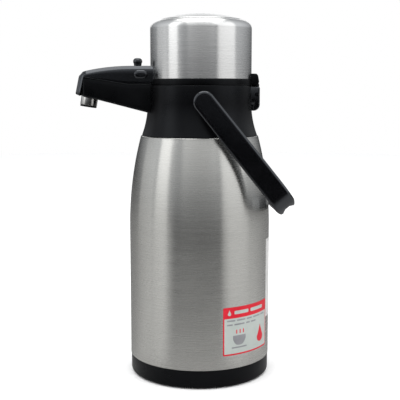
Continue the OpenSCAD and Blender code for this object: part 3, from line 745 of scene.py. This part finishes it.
def make_care_label():
    """Red label with a pale panel; its bars, cup and drops are generic print."""
    x0, z0, x1, z1 = label_edges("care_label", CARE_TURNS)
    header_z = z1 - 11
    red_film = film(bar(x0, z0, x1, z1, 1.4), 0, FILM_LIFT)
    piece("care_film", red_film, LABEL_RED, "vessel", ["care_label"])
    pale = [bar(x0 + 1.3, z0 + 1.5, x1 - 1.3, header_z, 0.5)]
    pale += [bar(x0 + 12, header_z + 3.8, x0 + 29, header_z + 7.2, 0.9)]
    pale += [bar(x0 + 32, header_z + 3.8, x0 + 52, header_z + 7.2, 0.9)]
    pale += [drop_columns(x0 + 6.6, header_z + 4.6, 1.8)]
    piece("care_panel", printed(pale, FILM_LIFT, PANEL_LIFT), LABEL_PAPER, "vessel")
    grey, red = care_print(x0, z0)
    piece("care_print", printed(grey, PANEL_LIFT, PRINT_LIFT), LABEL_GREY, "vessel")
    piece("care_signs", printed(red, PANEL_LIFT, PRINT_LIFT), LABEL_RED, "vessel")


def make_rear_label():
    """Blank white label below the hinge, with a fine border."""
    x0, z0, x1, z1 = label_edges("rear_label", REAR_TURNS)
    white_film = film(bar(x0, z0, x1, z1, 1.4), 0, FILM_LIFT)
    piece("rear_film", white_film, LABEL_WHITE, "vessel", ["rear_label"])
    margin, line, corner = 2, 0.4, 0.15
    lines = [bar(x0 + margin, z, x1 - margin, z + line, corner) for z in (z0 + margin, z1 - margin - line)]
    lines += [bar(x, z0 + margin, x + line, z1 - margin, corner) for x in (x0 + margin, x1 - margin - line)]
    piece("rear_lines", printed(lines, FILM_LIFT, PANEL_LIFT), LABEL_GREY, "vessel")


# ------------ lid

RING_LO_Z, RING_TOP_Z = 291, 296.6
RING_IN_R = 40.8
CAP_TOP_Z = span("cap_shell")[1].z
CAP_FILLET = 8.5
HINGE = joint_at("lid_hinge")
HINGE_ROOT_X, HINGE_HALF = 49, 14.5
TONGUE_HALF = 8.6
PUMP_GAP = 0.2


def on_lid():
    return Matrix.Translation((LID_X, 0, 0))


def make_cap():
    """Steel cap, open below, with a turned-down edge round the press plate's hole."""
    hole_r, lip = 42, 0.6
    top_z, under_z, inner_r = CAP_TOP_Z, CAP_TOP_Z - STEEL_T, CAP_R - STEEL_T
    cap = filleted([
        (CAP_R, RING_TOP_Z, 0.25), (CAP_R, top_z, CAP_FILLET), (hole_r, top_z, 0.5),
        (hole_r, under_z - lip, 0), (hole_r + lip, under_z - lip, 0), (hole_r + lip + 0.1, under_z, 0),
        (inner_r, under_z, CAP_FILLET - STEEL_T), (inner_r, RING_TOP_Z, 0),
    ], steps=12)
    piece("cap_skin", lathe(cap, on_lid()), STEEL_CAP, "lid", ["cap_shell"])


def dome_outline():
    """Domed press plate with a rolled rim and a skirt."""
    plate_lo, plate_hi = span("press_plate")
    edge_r = (plate_hi.y - plate_lo.y) / 2
    edge_z = CAP_TOP_Z + 0.6
    sphere_r = 140
    centre_z = edge_z - math.sqrt(sphere_r**2 - edge_r**2)
    rim = 1.1
    start = math.degrees(math.acos((edge_r - rim) / sphere_r))
    rolled = [(edge_r, plate_lo.z), (edge_r, edge_z - 1.6)]
    rolled += arc(edge_r - rim, edge_z - 1.2, rim, 10, 70, 5)
    dome = arc(0, centre_z, sphere_r, start, 89.9, 30)
    inside = [(r, z - STEEL_T) for r, z in reversed(dome)]
    return rolled + dome + inside + [(edge_r - STEEL_T, edge_z - 2.4), (edge_r - STEEL_T, plate_lo.z)]


def make_press():
    shape = lathe(dome_outline(), on_lid())
    piece("press_skin", shape, STEEL_DOME, "press", ["press_plate"])


def bellows_outline():
    """Folded rubber wall: its outside upwards, then its inside back down."""
    lo, hi = span("bellows")
    folds, per_fold, fold_depth, wall = 8, 8, 6.8, 1.4
    count = folds * per_fold
    outside = []
    for k in range(count + 1):
        fold = (1 + math.cos(2 * math.pi * k / per_fold)) / 2
        outside.append((hi.y - fold_depth * fold, lo.z + (hi.z - PUMP_GAP - lo.z) * k / count))
    return outside + [(r - wall, z) for r, z in reversed(outside)]


def coil(centre_r, wire_r, low, high, turns, around=24, sides=10):
    """Round wire wound about Z."""
    count = turns * around
    verts = []
    for i in range(count + 1):
        a = 2 * math.pi * i / around
        out = Vector((math.cos(a), math.sin(a), 0))
        centre = out * centre_r + Vector((0, 0, low + (high - low) * i / count))
        for k in range(sides):
            b = 2 * math.pi * k / sides
            verts.append(centre + out * wire_r * math.cos(b) + Vector((0, 0, wire_r * math.sin(b))))
    faces = [(a + k, a + (k + 1) % sides, a + sides + (k + 1) % sides, a + sides + k)
             for a in range(0, count * sides, sides) for k in range(sides)]
    faces += [tuple(range(sides)), tuple(range(count * sides, (count + 1) * sides))[::-1]]
    return verts, faces


def make_pump():
    """Bellows and return spring, each given a mesh of its own; on the real jug they shorten as the press
    plate comes down.
    """
    shape = lathe(bellows_outline(), on_lid())
    bellows = piece("bellows_wall", shape, RUBBER, "lid", ["bellows"])
    lo, hi = span("return_spring")
    wire_r, turns = 0.9, 6
    verts, faces = coil(hi.y - wire_r, wire_r, lo.z + wire_r, hi.z - PUMP_GAP - wire_r, turns)
    wound = [on_lid() @ v for v in verts], faces
    spring = piece("spring_wire", wound, STEEL_BRIGHT, "lid", ["return_spring"])
    for part in (bellows, spring):
        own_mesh(part)


def hinge_block():
    """Rounded block behind the cap that carries the lid on its hinge."""
    low_z, top_z, back_x = RING_LO_Z - 0.1, 302, 58.3
    outline = filleted([
        (HINGE_ROOT_X, low_z, 0), (back_x - 1, low_z, 0.8), (back_x, low_z + 3.1, 1.2),
        (back_x - 1.2, top_z - 1.7, 2.2), (back_x - 2.9, top_z, 1.8), (HINGE_ROOT_X, top_z, 0),
    ], steps=4)
    return slab(outline, round_rings(-HINGE_HALF, HINGE_HALF, 1.4, 1.4), sideways, columns=2)


def hinge_tongue():
    """Tongue of the lid that turns on the hinge pin."""
    radius = 3.2
    outline = arc(HINGE.x, HINGE.z, radius, 180, 360, 16)
    outline += [(HINGE.x + radius, HINGE.z + 4.5), (HINGE.x + radius, RING_LO_Z + 1)]
    outline += [(HINGE.x - radius, RING_LO_Z + 1), (HINGE.x - radius, HINGE.z + 4.5)]
    return slab(outline, round_rings(-TONGUE_HALF, TONGUE_HALF, 0.4, 0.4, 2), sideways, columns=2)


def make_lid_ring():
    """Lid ring with a step that closes the gap above the collar, and a spigot inside the cap."""
    spigot_out, spigot_in, spigot_top = CAP_R - STEEL_T, 47.7, RING_TOP_Z + 4.5
    step_in, step_out, step_z = 46, 50.2, COLLAR_TOP_Z + 0.02
    rim_r = CAP_R + 0.6
    ring = filleted([
        (RING_IN_R, RING_LO_Z, 0.4), (step_in, RING_LO_Z, 0), (step_in, step_z, 0),
        (step_out, step_z, 0.1), (step_out, RING_LO_Z, 0), (rim_r, RING_LO_Z, 0.3), (rim_r, RING_TOP_Z, 0.5),
        (spigot_out, RING_TOP_Z, 0), (spigot_out, spigot_top, 0.3), (spigot_in, spigot_top, 0.3),
        (spigot_in, RING_TOP_Z, 0), (RING_IN_R, RING_TOP_Z, 0.3),
    ])
    shape = join(lathe(ring, on_lid()), hinge_block(), hinge_tongue())
    piece("lid_ring_moulding", shape, BLACK_SATIN, "lid", ["lid_ring"])


def make_bracket():
    """Two ears and a back plate, screwed to the collar, that hold the hinge pin."""
    lo, hi = span("hinge_bracket")
    outline = filleted([
        (HINGE_ROOT_X, lo.z, 0), (hi.x, lo.z, 6), (hi.x, hi.z, 1.6), (HINGE_ROOT_X, hi.z, 0),
    ], steps=8)
    shape = slab(outline, round_rings(-HINGE_HALF, HINGE_HALF, 1.5, 1.5), sideways, columns=2)
    bracket = piece("hinge_ears", shape, BLACK_GLOSS, "vessel", ["hinge_bracket"])
    back_x, floor_z, gap = 52.4, 274, TONGUE_HALF + 0.4
    carve(bracket, block((back_x, -gap, floor_z), (hi.x + 5, gap, hi.z + 10)))


# ------------ spout cover and latch

LATCH = joint_at("latch_rock")
KNOB_LO, KNOB_HI = span("latch_lever")
KNOB_R = 4.5
CROWN_X, CROWN_Z, CROWN_R = -66, 309.4, 255


def crown_z(x):
    """Height of the cover's arched back, level from its crown to the cap."""
    if x > CROWN_X:
        return CROWN_Z
    return CROWN_Z - CROWN_R + math.sqrt(CROWN_R**2 - (x - CROWN_X) ** 2)


def lean(x, z):
    """The nose slopes back as it rises; the slope dies away along the spout."""
    slope_w, low_z, height = 4.2, 281.5, 20
    root_x, reach = -60, 60
    return x + clamp((root_x - x) / reach) ** 2 * slope_w * clamp((z - low_z) / height)


def cover_low_z(x):
    """Lower edge of the cover: the seam along the sides, and down over the nose in front."""
    nose_z, nose_rise = 280.0, 0.4
    if x < SEAM_TIP[0]:
        return nose_z + nose_rise * (SEAM_TIP[0] - x)
    return seam_z(x)


def cover_shape():
    """Hollow hood: its ceiling, inner walls, lower rim, outer walls and bevelled back."""
    plan = spout_plan(SPOUT_TIP_X, LID_X, 8, CAP_R)
    bevel, wall = 4.2, 2.2
    # Lower half of the bevel's profile, as shares of its width inwards and of its depth below the crown.
    bevel_half = ((0, 1), (0.03, 0.85), (0.12, 0.70), (0.31, 0.51))

    def below_crown(depth):
        return lambda x, y: crown_z(x) - depth

    def above_rim(height):
        return lambda x, y: cover_low_z(x) + height

    def side_at(share):
        return lambda x, y: cover_low_z(x) + (crown_z(x) - bevel - cover_low_z(x)) * share

    rings = [
        (wall + 2.4, below_crown(wall)), (wall + 0.8, below_crown(wall + 0.7)),
        (wall, below_crown(wall + 2.4)), (wall, above_rim(0.3)), (wall - 0.3, above_rim(0)),
        (0.9, above_rim(0)), (0.42, above_rim(0.12)), (0.12, above_rim(0.42)), (0, above_rim(0.9)),
    ]
    rings += [(0, side_at(share)) for share in (0.25, 0.5, 0.75)]
    for inset, depth in bevel_half + tuple(pair[::-1] for pair in reversed(bevel_half)):
        rings.append((bevel * inset, below_crown(bevel * depth)))

    def place(x, y, z):
        return Vector((lean(x, z), y, z))

    return slab(plan, rings, place)


def stadium(x, z, half, radius):
    """Outline of an oblong with round ends."""
    return arc(x + half, z, radius, -90, 90, 10) + arc(x - half, z, radius, 90, 270, 10)


def side_boss(way):
    """Low oval boss over the latch's pivot."""
    side_y = ROOT_HALF - 1
    wall_h, crown_h, crown_w = 0.6, 2.2, 3
    outline = stadium(LATCH.x, LATCH.z, 2.5, 4.3)
    top_y = side_y + wall_h + crown_h
    rings = [(0, side_y * way)]
    rings += [(crown_w * c, (top_y - crown_h * s) * way) for c, s in quarter_turn(6)]
    return slab(outline, rings, sideways, columns=4)


def make_cover():
    hood = piece("spout_hood", cover_shape(), BLACK_GLOSS, "lid", ["spout_cover"])
    slot_out_x, slot_in_x, half = -65.4, -56.6, 2.8
    knob_slot = block((slot_out_x, -half, LATCH.z), (slot_in_x, half, LATCH.z + 20))
    carve(hood, knob_slot, bore_shape(CAP_R + 0.1, 280, 330, on_lid()))
    piece("latch_bosses", join(side_boss(1), side_boss(-1)), BLACK_GLOSS, "lid")


def knob_shape(x):
    """Domed thumb knob with a slight waist above the cover."""
    top, axis_r, waist_r = KNOB_HI.z, 0.05, 3.9
    outline = filleted([
        (axis_r, top - 7.4, 0), (waist_r - 0.2, top - 7.4, 0.3), (waist_r, top - 5.4, 0.8),
        (KNOB_R, top - 4.2, 0.6), (KNOB_R, top, 3), (axis_r, top, 0),
    ], steps=6)
    return lathe(outline, Matrix.Translation((x, 0, 0)), 96)


def hook_leg(way):
    """Leg that ends in a hook below the collar's catch."""
    left_x, right_x, hook_x = LATCH.x - 1.8, LATCH.x + 1.8, LATCH.x + 3.4
    low_z, top_z = 284, LATCH.z - 2
    outline = filleted([
        (left_x, low_z, 0.4), (hook_x, low_z, 0.4), (hook_x, low_z + 1.8, 0.4),
        (right_x, low_z + 2.4, 0.3), (right_x, top_z, 0), (left_x, top_z, 0),
    ], steps=3)
    middle_y, half_t, fillet = 7.9 * way, 1.3, 0.3
    rings = round_rings(middle_y - half_t, middle_y + half_t, fillet, fillet, 2)
    return slab(outline, rings, sideways, columns=1)


def make_lever():
    """Latch lever: knob, slanting stem, hub on the pin and two hooked legs."""
    knob_x = KNOB_LO.x + KNOB_R
    axis_r, stem_r, stem_top = 0.05, 2, 10.4
    stem = filleted([(axis_r, 0, 0), (stem_r, 0, 0), (stem_r, stem_top, 0), (axis_r, stem_top, 0)])
    tilt = math.atan2(knob_x - LATCH.x, KNOB_HI.z - 6.5 - LATCH.z)
    stem_at = Matrix.Translation(LATCH) @ Matrix.Rotation(tilt, 4, "Y")
    pin_r, hub_r, half = 1.6, 3, 9.2
    hub = filleted([(pin_r, -half, 0), (hub_r, -half, 0.4), (hub_r, half, 0.4), (pin_r, half, 0)])
    hub_at = Matrix.Translation(LATCH) @ Matrix.Rotation(math.radians(90), 4, "X")
    shape = join(
        knob_shape(knob_x), lathe(stem, stem_at, 48), lathe(hub, hub_at, 64), hook_leg(-1), hook_leg(1),
    )
    piece("latch_knob", shape, BLACK_GLOSS, "latch", ["latch_lever"])


# ------------ carry handle

ARM_W = 20.8
ARM_T, GRIP_T = 5.2, 6.8
GRIP_OUT = 133.2
CORNER_R = 21
HANDLE_REST = 51.6
STRAIGHT = GRIP_OUT - CORNER_R
BEND = CORNER_R * math.pi / 2
CROSS = 2 * (ARM_OUT_Y - CORNER_R)
HANDLE_LENGTH = 2 * STRAIGHT + 2 * BEND + CROSS


def handle_path(u):
    """Point on the handle's outer face and the inward normal, at a distance u from the first pivot."""
    corner_y = ARM_OUT_Y - CORNER_R
    if u > HANDLE_LENGTH / 2:
        (x, y), (nx, ny) = handle_path(HANDLE_LENGTH - u)
        return (x, -y), (nx, -ny)
    if u < STRAIGHT:
        return (u, -ARM_OUT_Y), (0, 1)
    if u < STRAIGHT + BEND:
        a = (u - STRAIGHT) / CORNER_R
        c, s = math.cos(a), math.sin(a)
        return (STRAIGHT + CORNER_R * s, -corner_y - CORNER_R * c), (-s, c)
    return (GRIP_OUT, -corner_y + (u - STRAIGHT - BEND)), (-1, 0)


def smooth(share):
    """Eases a share in and out."""
    t = clamp(share)
    return t * t * (3 - 2 * t)


def handle_plan():
    """Unrolled outline of the handle: its length along the outer face, and its width."""
    lower = []
    for k in range(13):
        a = math.radians(180 + 90 * k / 12)
        lower.append((ARM_W / 2 * math.cos(a), ARM_W / 2 * math.sin(a)))
    steps = [STRAIGHT * k / 14 for k in range(1, 14)]
    steps += [STRAIGHT + BEND * k / 14 for k in range(15)]
    steps += [STRAIGHT + BEND + CROSS / 2 * k / 6 for k in range(1, 6)]
    lower += [(u, -ARM_W / 2) for u in steps]
    lower += [(HANDLE_LENGTH - u, w) for u, w in reversed(lower)]
    return lower + [(u, -w) for u, w in reversed(lower)]


def grip_half(x, upper):
    """Half-width of the handle at a distance x from its pivots; it narrows over the grip's outer face."""
    if upper:
        steps = [(0, 10.4), (108, 11.2), (126, 10.8), (131.6, 9.1), (GRIP_OUT, 6.8)]
    else:
        steps = [(0, 10.4), (125, 10.4), (131.8, 8.8), (GRIP_OUT, 6)]
    for (x0, half0), (x1, half1) in zip(steps, steps[1:]):
        if x <= x1:
            return half0 + (half1 - half0) * (max(x, x0) - x0) / (x1 - x0)
    return steps[-1][1]


def place_on_handle(u, w, depth):
    """From the unrolled outline, with the depth as a share of the handle's thickness, to space."""
    near = min(max(u, 0), max(HANDLE_LENGTH - u, 0))
    grip = smooth((near - STRAIGHT) / BEND)
    thickness = ARM_T + (GRIP_T - ARM_T) * grip
    (x, y), (nx, ny) = handle_path(u)
    x += nx * depth * thickness
    y += ny * depth * thickness
    z = w * grip_half(x, w > 0) / (ARM_W / 2)
    scallop_r, scallop_x, scallop_z = 7, GRIP_OUT + 2.4, 0.6
    if abs(z - scallop_z) < scallop_r:
        x = min(x, scallop_x - math.sqrt(scallop_r**2 - (z - scallop_z) ** 2))
    turn = math.radians(HANDLE_REST)
    c, s = math.cos(turn), math.sin(turn)
    return Vector((x * c + z * s, y, PIVOT.z - x * s + z * c))


def make_handle():
    fillet = 2.4
    rings = [(fillet * s, 1 - fillet * c / ARM_T) for c, s in quarter_turn(4)]
    rings += [(fillet * c, fillet * s / ARM_T) for c, s in quarter_turn(6)]
    shape = slab(handle_plan(), rings, place_on_handle, columns=16)
    piece("handle_bail", shape, BLACK_GLOSS, "handle", ["carry_handle"])


# ------------ stage, lights and camera

CAMERA_DISTANCE = 847.26
CAMERA_AZIMUTH = -4.0
CAMERA_HEIGHT = 286.9
CAMERA_PITCH = 7.53
CAMERA_LENS, CAMERA_SHIFT = 75.6, 0.00125
ROOM_LOW, ROOM_HIGH = 0.02, 0.42
ROOM_FILL = 1.12
TABLE_R = 3
LIGHT_AIM_Z = 0.18
FLOOR_NEAR, FLOOR_FAR, FLOOR_SIDE = 0.34, 0.02, 0.40


def floor_reflection(tree):
    """Brightness of the floor as shiny surfaces see it, by direction from the jug.

    It fades away from the jug in front, is pale on both sides, and is dimmer behind.
    """
    place = tree.nodes.new("ShaderNodeTexCoord")
    spread = tree.nodes.new("ShaderNodeVectorMath")
    spread.operation = "LENGTH"
    axes = tree.nodes.new("ShaderNodeSeparateXYZ")
    tree.links.new(place.outputs["Object"], spread.inputs[0])
    tree.links.new(place.outputs["Object"], axes.inputs["Vector"])
    distance = spread.outputs["Value"]
    front = spread_range(tree, distance, 0.12, 0.6, FLOOR_NEAR, FLOOR_FAR)
    sideways_share = value_node(tree, "DIVIDE", axes.outputs["X"], distance)
    right = spread_range(tree, sideways_share, 0.47, 0.70, 0, 1)
    left = spread_range(tree, sideways_share, -0.68, -0.86, 0, 1)
    behind = value_node(tree, "DIVIDE", value_node(tree, "MAXIMUM", axes.outputs["Y"], 0), distance)
    rear = spread_range(tree, behind, 0, 0.15, 0, 1)
    aside = value_node(tree, "MAXIMUM", value_node(tree, "MAXIMUM", left, right), rear)
    pale = value_node(tree, "MULTIPLY_ADD", behind, -0.6 * FLOOR_SIDE, FLOOR_SIDE)
    in_front = value_node(tree, "MULTIPLY", front, value_node(tree, "SUBTRACT", 1, aside))
    return value_node(tree, "ADD", value_node(tree, "MULTIPLY", aside, pale), in_front)


def make_stage():
    """Pale round table, which shiny surfaces see darker than it is."""
    segments = 96
    turns = [2 * math.pi * i / segments for i in range(segments)]
    rim = [(TABLE_R * math.cos(turn), TABLE_R * math.sin(turn), -0.0002) for turn in turns]
    mesh = bpy.data.meshes.new("floor")
    mesh.from_pydata(rim, [], [tuple(range(segments))])
    floor = new_object("floor", mesh)
    material, tree, bsdf = nodes_of("floor_paper")
    cloud = scaled_noise(tree, (3, 3, 3))
    paper = tinted(tree, remap(tree, cloud, 0, 1), (0.985, 0.985, 0.985), (0.995, 0.995, 0.995))
    dim = tree.nodes.new("ShaderNodeMix")
    dim.data_type = "RGBA"
    tree.links.new(tree.nodes.new("ShaderNodeLightPath").outputs["Is Glossy Ray"], dim.inputs["Factor"])
    tree.links.new(paper, dim.inputs["A"])
    tree.links.new(floor_reflection(tree), dim.inputs["B"])
    tree.links.new(dim.outputs["Result"], bsdf.inputs["Base Color"])
    bsdf.inputs["Specular IOR Level"].default_value = 0
    bsdf.inputs["Roughness"].default_value = 0.9
    mesh.materials.append(material)


def make_world():
    """A dim room that brightens upwards for reflections, a pale one for fill light, a white backdrop."""
    world = bpy.data.worlds.new("studio")
    bpy.context.scene.world = world
    world.use_nodes = True
    tree = world.node_tree
    path = tree.nodes.new("ShaderNodeLightPath")
    direction = tree.nodes.new("ShaderNodeTexCoord")
    axes = tree.nodes.new("ShaderNodeSeparateXYZ")
    room = tree.nodes["Background"]
    room.inputs["Color"].default_value = (0.93, 0.96, 1.0, 1)
    tree.links.new(direction.outputs["Generated"], axes.inputs["Vector"])
    upwards = spread_range(tree, axes.outputs["Z"], -0.05, 0.22, ROOM_LOW, ROOM_HIGH)
    beside = value_node(tree, "MULTIPLY", axes.outputs["X"], axes.outputs["X"])
    behind = value_node(tree, "MAXIMUM", axes.outputs["Y"], 0)
    dimmer = value_node(tree, "MULTIPLY_ADD", behind, -0.4, 1.0)
    plan = value_node(tree, "ADD", beside, dimmer)
    tree.links.new(value_node(tree, "MULTIPLY", upwards, plan), room.inputs["Strength"])
    shader = room.outputs["Background"]
    for ray, strength in (("Is Diffuse Ray", ROOM_FILL), ("Is Camera Ray", 1.0)):
        layer = tree.nodes.new("ShaderNodeBackground")
        layer.inputs["Color"].default_value = (1, 1, 1, 1)
        layer.inputs["Strength"].default_value = strength
        mix = tree.nodes.new("ShaderNodeMixShader")
        tree.links.new(path.outputs[ray], mix.inputs["Fac"])
        tree.links.new(shader, mix.inputs[1])
        tree.links.new(layer.outputs["Background"], mix.inputs[2])
        shader = mix.outputs["Shader"]
    tree.links.new(shader, tree.nodes["World Output"].inputs["Surface"])


def softbox(name, azimuth, distance, height, width, tall, power):
    """Rectangular light that faces the jug; azimuth 0 stands where the camera's side is."""
    data = bpy.data.lights.new(name, "AREA")
    data.shape = "RECTANGLE"
    data.size, data.size_y = width, tall
    data.energy = power
    light = new_object(name, data)
    a = math.radians(azimuth)
    light.location = (distance * math.sin(a), -distance * math.cos(a), height)
    aim = Vector((0, 0, LIGHT_AIM_Z)) - light.location
    light.rotation_euler = aim.to_track_quat("-Z", "Y").to_euler()
    light.visible_camera = False


def make_lights():
    """Each box: name, azimuth, distance, height, width, tall, brightness of its face."""
    boxes = (
        ("left_box", -69, 1.3, 0.94, 0.62, 1.4, 0.92),
        ("left_low", -69, 1.3, 0.15, 0.62, 0.3, 0.34),
        ("left_back", -102, 1.3, 0.1, 0.8, 0.9, 0.26),
        ("right_box", 56, 1.3, 0.96, 1.2, 1.4, 0.68),
        ("right_low", 56, 1.3, 0.15, 1.2, 0.3, 0.34),
        ("front_box", -4, 1.3, 1.15, 1.8, 1.3, 0.34),
        ("top_box", 0, 0.05, 1.5, 1.2, 1.2, 2.2),
        ("back_card", 180, 1.3, 0.8, 1.0, 0.6, 1.0),
    )
    for name, azimuth, distance, height, width, tall, brightness in boxes:
        softbox(name, azimuth, distance, height, width, tall, brightness * math.pi * width * tall)


def make_camera():
    data = bpy.data.cameras.new("camera")
    data.sensor_width = 36
    data.lens = CAMERA_LENS
    data.shift_x = CAMERA_SHIFT
    camera = new_object("camera", data)
    a = math.radians(CAMERA_AZIMUTH)
    x, y = CAMERA_DISTANCE * math.sin(a), -CAMERA_DISTANCE * math.cos(a)
    camera.location = Vector((x, y, CAMERA_HEIGHT)) * MM
    camera.rotation_euler = (math.radians(90 - CAMERA_PITCH), 0, a)
    bpy.context.scene.camera = camera


bpy.context.scene.view_settings.view_transform = "Standard"
dress_cad_nodes()
make_jug()
make_collar()
make_nozzle()
make_care_label()
make_rear_label()
make_cap()
make_press()
make_pump()
make_lid_ring()
make_bracket()
make_cover()
make_lever()
make_handle()
make_stage()
make_world()
make_lights()
make_camera()
